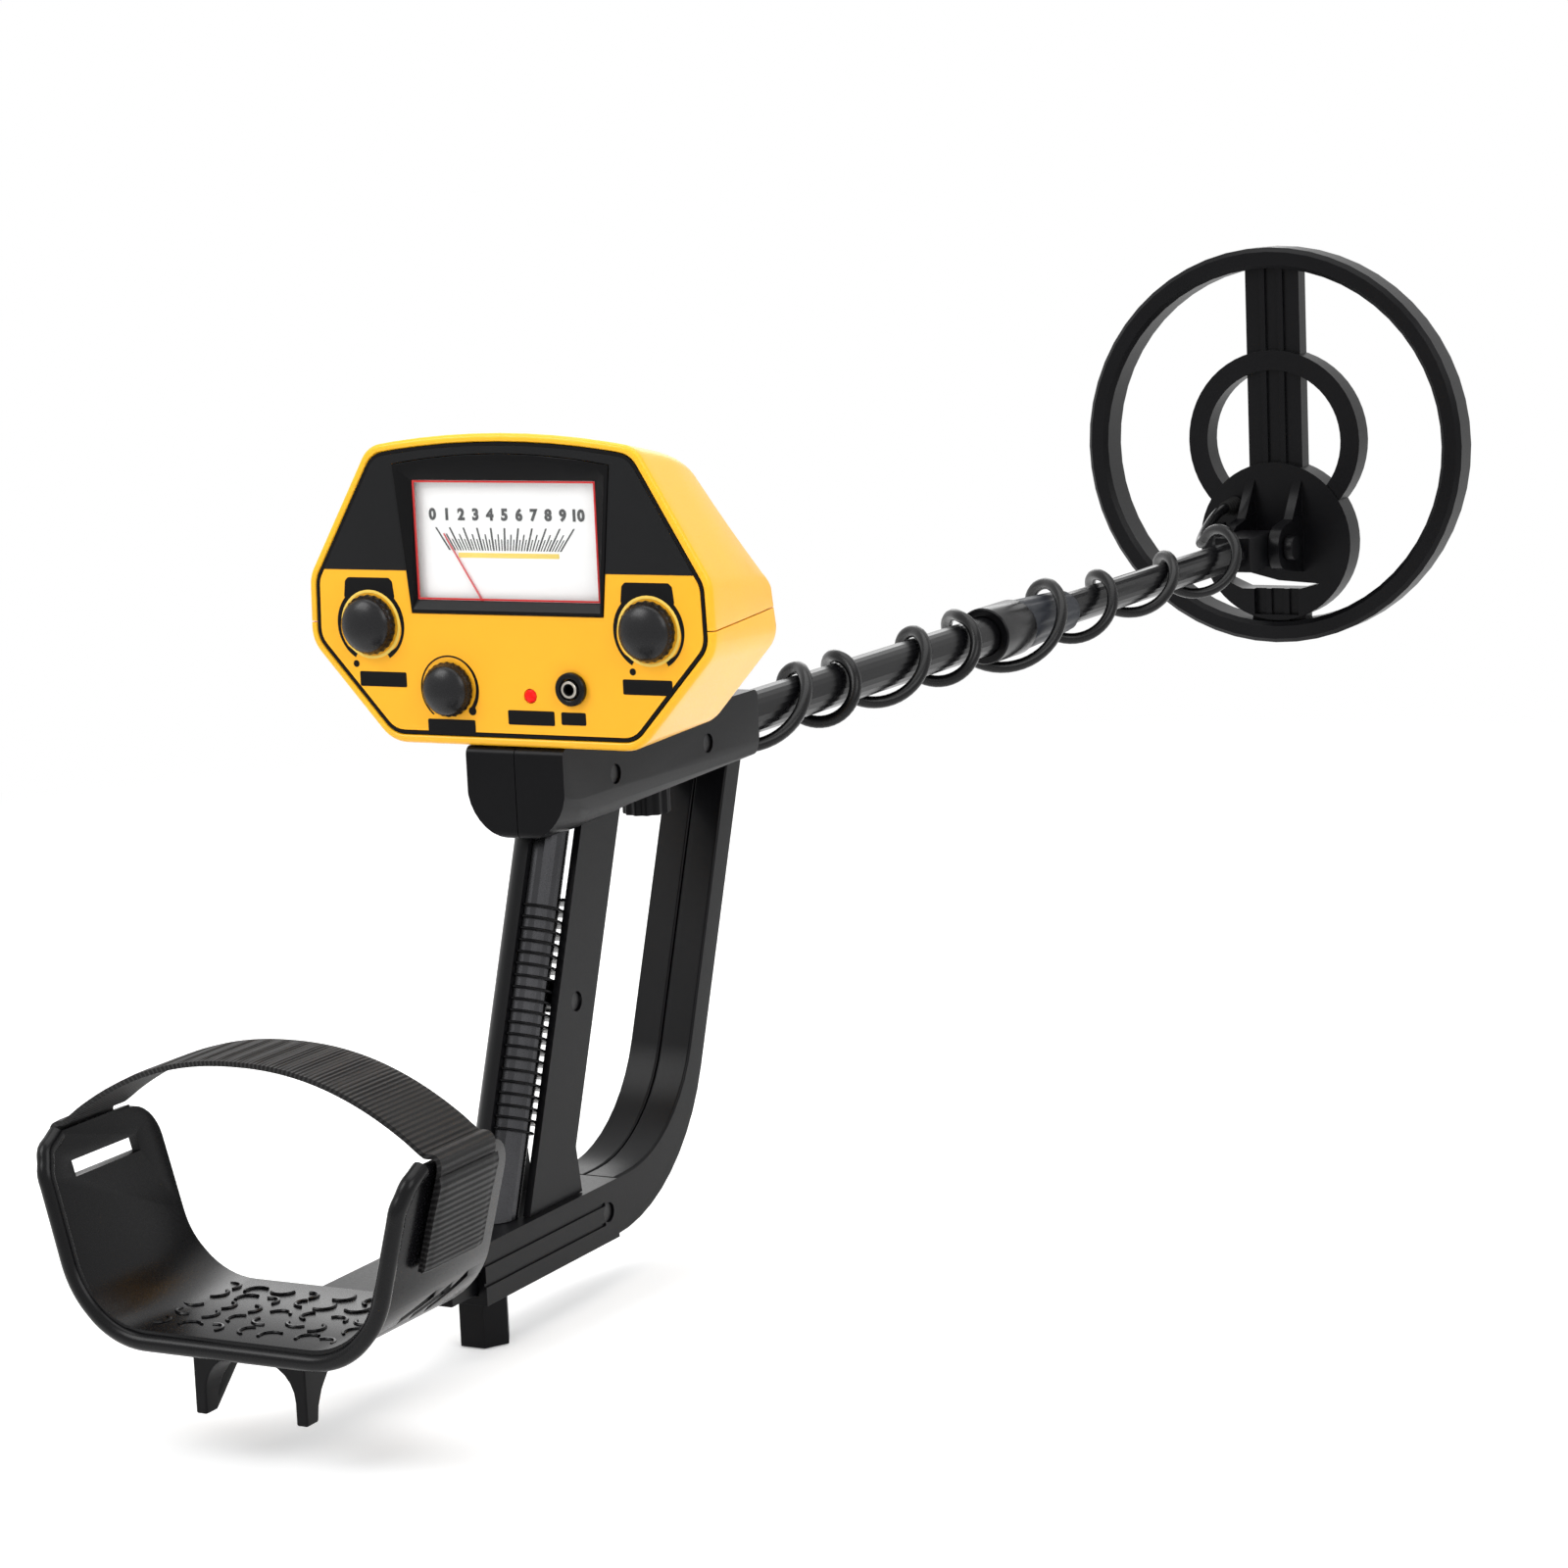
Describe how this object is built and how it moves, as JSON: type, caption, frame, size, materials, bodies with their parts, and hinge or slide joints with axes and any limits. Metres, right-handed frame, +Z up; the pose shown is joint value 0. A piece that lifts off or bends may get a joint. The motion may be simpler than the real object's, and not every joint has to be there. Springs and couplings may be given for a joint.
{
  "type": "metal detector",
  "caption": "Hand-held metal detector with a meter and control box, D-shaped handle, arm cuff with strap, telescopic shaft with wound cable and an open ring search coil.",
  "frame": {"origin": "middle of the hand grip", "axes": "+Y along the shaft towards the search coil, +Z up, +X to the user's right"},
  "size_m": [0.21, 1.005, 0.3554],
  "materials": {
    "yellow_plastic": "satin moulded, orange-yellow",
    "panel_print": "printed, orange-yellow with a black upper area",
    "black_plastic": "satin moulded, black",
    "black_rubber": "matt black",
    "black_paint": "tube painted glossy black",
    "cable_jacket": "smooth black jacket",
    "webbing": "woven black nylon",
    "dial_white": "printed white card",
    "needle_red": "painted red",
    "clear_window": "clear, polished",
    "led_red": "tinted lens",
    "steel": "plated",
    "copper": "enamelled copper wire potted in resin",
    "board_green": "solder mask",
    "battery_case": "printed jacket"
  },
  "bodies": {
    "frame": {"box_top_shell": "yellow_plastic", "box_bottom_shell": "yellow_plastic", "front_panel": "panel_print", "panel_seal": "black_rubber", "meter_bezel": "black_plastic", "meter_window": "clear_window", "meter_dial": "dial_white", "meter_movement": "black_plastic", "disc_potentiometer": "steel", "sensitivity_potentiometer": "steel", "volume_potentiometer": "steel", "low_battery_lamp": "led_red", "earphone_jack": "black_plastic", "jack_nut": "steel", "circuit_board": "board_green", "battery_upper": "battery_case", "battery_lower": "battery_case", "speaker": "black_plastic", "case_screw_left": "steel", "case_screw_right": "steel", "bracket_left": "black_plastic", "bracket_right": "black_plastic", "shaft_screw_rear": "steel", "shaft_screw_front": "steel", "grip_tube": "black_plastic", "grip_left": "black_plastic", "grip_right": "black_plastic", "grip_screw": "steel", "bow_left": "black_plastic", "bow_right": "black_plastic", "arm_bar": "black_plastic", "arm_screw": "steel", "upper_shaft": "black_paint", "lock_collet": "black_rubber", "cable_gland": "black_rubber", "coil_cable": "cable_jacket"},
    "needle": {"meter_needle": "needle_red"},
    "disc_control": {"disc_knob": "black_plastic"},
    "sensitivity_control": {"sensitivity_knob": "black_plastic"},
    "volume_control": {"volume_knob": "black_plastic"},
    "battery_lid": {"battery_door": "yellow_plastic"},
    "shaft_clamp": {"clamp_knob": "black_plastic"},
    "cuff": {"arm_cuff": "black_plastic", "cuff_rail": "black_plastic", "cuff_screw": "steel", "cuff_stand": "black_plastic", "arm_strap": "webbing"},
    "cuff_clamp": {"cuff_clamp_knob": "black_plastic"},
    "collar": {"lock_collar": "black_plastic"},
    "lower_stem": {"lower_shaft": "black_paint", "shaft_tip": "black_plastic", "cable_tail": "cable_jacket"},
    "coil": {"coil_shell": "black_plastic", "outer_winding": "copper", "inner_winding": "copper", "outer_coil_cover": "black_plastic", "inner_coil_cover": "black_plastic", "coil_bolt": "black_plastic", "cable_boot": "black_rubber"},
    "pivot_nut": {"coil_nut": "black_plastic"}
  },
  "joints": [
    {"name": "needle_swing", "type": "hinge", "parent": "frame", "child": "needle", "pos_m": [0, -0.0076, 0.1319], "axis": [0, 1, 0], "range_deg": [-10, 67], "stiffness_Nm_per_rad": 0.001},
    {"name": "disc_turn", "type": "hinge", "parent": "frame", "child": "disc_control", "pos_m": [-0.0595, -0.0116, 0.143], "axis": [0, 1, 0], "range_deg": [0, 270]},
    {"name": "sensitivity_turn", "type": "hinge", "parent": "frame", "child": "sensitivity_control", "pos_m": [0.0595, -0.0116, 0.143], "axis": [0, 1, 0], "range_deg": [0, 270]},
    {"name": "volume_turn", "type": "hinge", "parent": "frame", "child": "volume_control", "pos_m": [-0.0263, -0.0116, 0.1195], "axis": [0, 1, 0], "range_deg": [0, 270]},
    {"name": "battery_door_swing", "type": "hinge", "parent": "frame", "child": "battery_lid", "pos_m": [0.0182, 0.0584, 0.1125], "axis": [-1, 0, 0], "range_deg": [0, 95]},
    {"name": "shaft_clamp_turn", "type": "hinge", "parent": "frame", "child": "shaft_clamp", "pos_m": [0, 0.085, 0.06], "axis": [0, 0, 1], "range_deg": [0, 360]},
    {"name": "cuff_slide", "type": "slide", "parent": "frame", "child": "cuff", "axis": [0, 1, 0], "range_m": [-0.045, 0]},
    {"name": "cuff_clamp_turn", "type": "hinge", "parent": "frame", "child": "cuff_clamp", "pos_m": [0, -0.054, -0.1], "axis": [0, 0, 1], "range_deg": [0, 360]},
    {"name": "collar_twist", "type": "hinge", "parent": "frame", "child": "collar", "pos_m": [0, 0.401, 0.083], "axis": [0, 1, 0], "range_deg": [0, 270]},
    {"name": "shaft_slide", "type": "slide", "parent": "frame", "child": "lower_stem", "axis": [0, 1, 0], "range_m": [-0.15, 0.075], "deforming": ["coil_cable"]},
    {"name": "coil_tilt", "type": "hinge", "parent": "lower_stem", "child": "coil", "pos_m": [0, 0.748, 0.083], "axis": [1, 0, 0], "range_deg": [-80, 60], "deforming": ["cable_tail"]},
    {"name": "pivot_nut_turn", "type": "hinge", "parent": "coil", "child": "pivot_nut", "pos_m": [-0.0235, 0.748, 0.083], "axis": [-1, 0, 0], "range_deg": [0, 360]}
  ]
}
